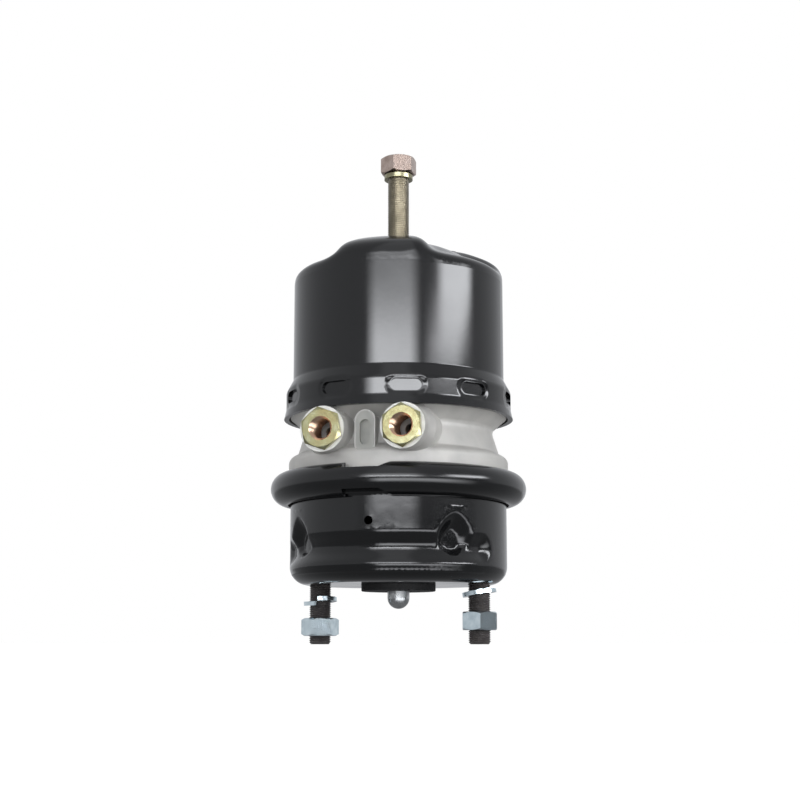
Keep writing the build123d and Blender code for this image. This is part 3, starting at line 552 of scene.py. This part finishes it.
# The room: strength for the camera and for soft fill, and what gloss sees of it. Rise is the sine of the
# height and round the degrees from the ports' side at which a thing is seen, each with its strength. The
# walls are darker in a shade at eye level. Two windows glow in front and at the side, and a pale table
# glows low down. The side window leans: below its leanRise it lies further round, by so many degrees.
room = {
    "camera": 1.0, "fill": 0.6, "glow": 14.0, "glass": "f9fbff",
    "wallRise": [(-0.50, 0.3), (-0.12, 0.32), (-0.03, 0.74), (0.3, 0.74), (0.5, 0.7)],
    "wallRound": [(-120, 1.0), (-85, 0.95), (105, 0.95), (140, 1.0)],
    "shadeRise": [(-0.08, 0.0), (-0.03, 0.75), (0.075, 0.72), (0.10, 0.1), (0.14, 0.0)],
    "shadeRound": [(-28, 0.0), (-16, 1.0), (96, 1.0), (108, 0.0)],
    "front": {
        "rise": [(0.05, 0.0), (0.07, 0.04), (0.095, 0.06), (0.125, 0.75), (0.17, 1.0), (0.205, 1.0),
                 (0.225, 0.5), (0.242, 0.24), (0.27, 0.14), (0.325, 0.3), (0.375, 0.28), (0.44, 0.03)],
        "round": [(-18, 0.0), (-7, 1.0), (29, 1.0), (41, 0.0)],
    },
    "side": {
        "rise": [(0.18, 0.0), (0.2, 0.85), (0.23, 1.0), (0.35, 0.8), (0.42, 0.0)],
        "round": [(58, 0.0), (68, 1.0), (97, 1.0), (106, 0.0)],
        "lean": 20, "leanRise": (0.19, 0.235),
    },
    "table": {
        "rise": [(-0.5, 0.0), (-0.4, 0.25), (-0.25, 0.45), (-0.15, 0.4), (-0.04, 0.0)],
        "round": [(-9, 0.0), (-2, 1.0), (60, 0.8), (92, 0.0)],
    },
}


def addWindow(tree, s, height, turn):
    # the glow of one window, 0 to 1
    rise = ramp(tree, (height, 0), [(h + 0.5, v) for h, v in s["rise"]])
    around = addNode(tree, "ShaderNodeMath", {"operation": "MULTIPLY_ADD"}, {
        0: (turn, 0), 1: 0.5 / math.pi, 2: 0.5})
    if "lean" in s:
        lowest, highest = s["leanRise"]
        lean = addNode(tree, "ShaderNodeMapRange", links={
            "Value": (height, 0), "From Min": lowest + 0.5, "From Max": highest + 0.5,
            "To Min": s["lean"], "To Max": 0.0})
        around = addNode(tree, "ShaderNodeMath", {"operation": "MULTIPLY_ADD"}, {
            0: (lean, "Result"), 1: 1 / 360, 2: (around, 0)})
    width = ramp(tree, (around, 0), [(a / 360 + 0.5, v) for a, v in s["round"]])
    return addNode(tree, "ShaderNodeMath", {"operation": "MULTIPLY"}, {
        0: (rise, "Color"), 1: (width, "Color")})


def setWorld(s):
    world = bpy.data.worlds.new("studioRoom")
    bpy.context.scene.world = world
    world.use_nodes = True
    tree = world.node_tree
    tree.nodes.clear()
    place = addNode(tree, "ShaderNodeTexCoord")
    way = addNode(tree, "ShaderNodeSeparateXYZ", links={"Vector": (place, "Generated")})
    height = addNode(tree, "ShaderNodeMath", {"operation": "ADD"}, {0: (way, "Z"), 1: 0.5})
    back = addNode(tree, "ShaderNodeMath", {"operation": "MULTIPLY"}, {0: (way, "Y"), 1: -1.0})
    turn = addNode(tree, "ShaderNodeMath", {"operation": "ARCTAN2"}, {0: (way, "X"), 1: (back, 0)})
    around = addNode(tree, "ShaderNodeMapRange", links={
        "Value": (turn, 0), "From Min": -math.pi, "From Max": math.pi})
    wallRise = ramp(tree, (height, 0), [(h + 0.5, v) for h, v in s["wallRise"]])
    wallRound = ramp(tree, (around, "Result"), [(a / 360 + 0.5, v) for a, v in s["wallRound"]])
    walls = addNode(tree, "ShaderNodeMath", {"operation": "MULTIPLY"}, {
        0: (wallRise, "Color"), 1: (wallRound, "Color")})
    shadeRise = ramp(tree, (height, 0), [(h + 0.5, v) for h, v in s["shadeRise"]])
    shadeRound = ramp(tree, (around, "Result"), [(a / 360 + 0.5, v) for a, v in s["shadeRound"]])
    shade = addNode(tree, "ShaderNodeMath", {"operation": "MULTIPLY"}, {
        0: (shadeRise, "Color"), 1: (shadeRound, "Color")})
    clear = addNode(tree, "ShaderNodeMath", {"operation": "SUBTRACT"}, {0: 1.0, 1: (shade, 0)})
    backdrop = addNode(tree, "ShaderNodeMath", {"operation": "MULTIPLY"}, {0: (walls, 0), 1: (clear, 0)})
    front = addWindow(tree, s["front"], height, turn)
    side = addWindow(tree, s["side"], height, turn)
    table = addWindow(tree, s["table"], height, turn)
    windows = addNode(tree, "ShaderNodeMath", {"operation": "ADD"}, {0: (front, 0), 1: (side, 0)})
    bright = addNode(tree, "ShaderNodeMath", {"operation": "ADD"}, {0: (windows, 0), 1: (table, 0)})
    gloss = addNode(tree, "ShaderNodeMath", {"operation": "MULTIPLY_ADD"}, {
        0: (bright, 0), 1: s["glow"], 2: (backdrop, 0)})
    path = addNode(tree, "ShaderNodeLightPath")
    shiny = addNode(tree, "ShaderNodeMath", {"operation": "MAXIMUM"}, {
        0: (path, "Is Glossy Ray"), 1: (path, "Is Transmission Ray")})
    unseen = addNode(tree, "ShaderNodeMix", {"data_type": "FLOAT"}, {
        0: (shiny, 0), 2: s["fill"], 3: (gloss, 0)})
    seen = addNode(tree, "ShaderNodeMix", {"data_type": "FLOAT"}, {
        0: (path, "Is Camera Ray"), 2: (unseen, 0), 3: s["camera"]})
    tint = addNode(tree, "ShaderNodeMix", {"data_type": "RGBA"}, {
        0: (shiny, 0), 6: (1, 1, 1, 1), 7: toLinear(s["glass"])})
    light = addNode(tree, "ShaderNodeBackground", links={"Color": (tint, 2), "Strength": (seen, 0)})
    addNode(tree, "ShaderNodeOutputWorld", links={"Surface": (light, "Background")})


setWorld(room)

bpy.context.scene.view_settings.view_transform = "Standard"
print("camera, lamps and room set")
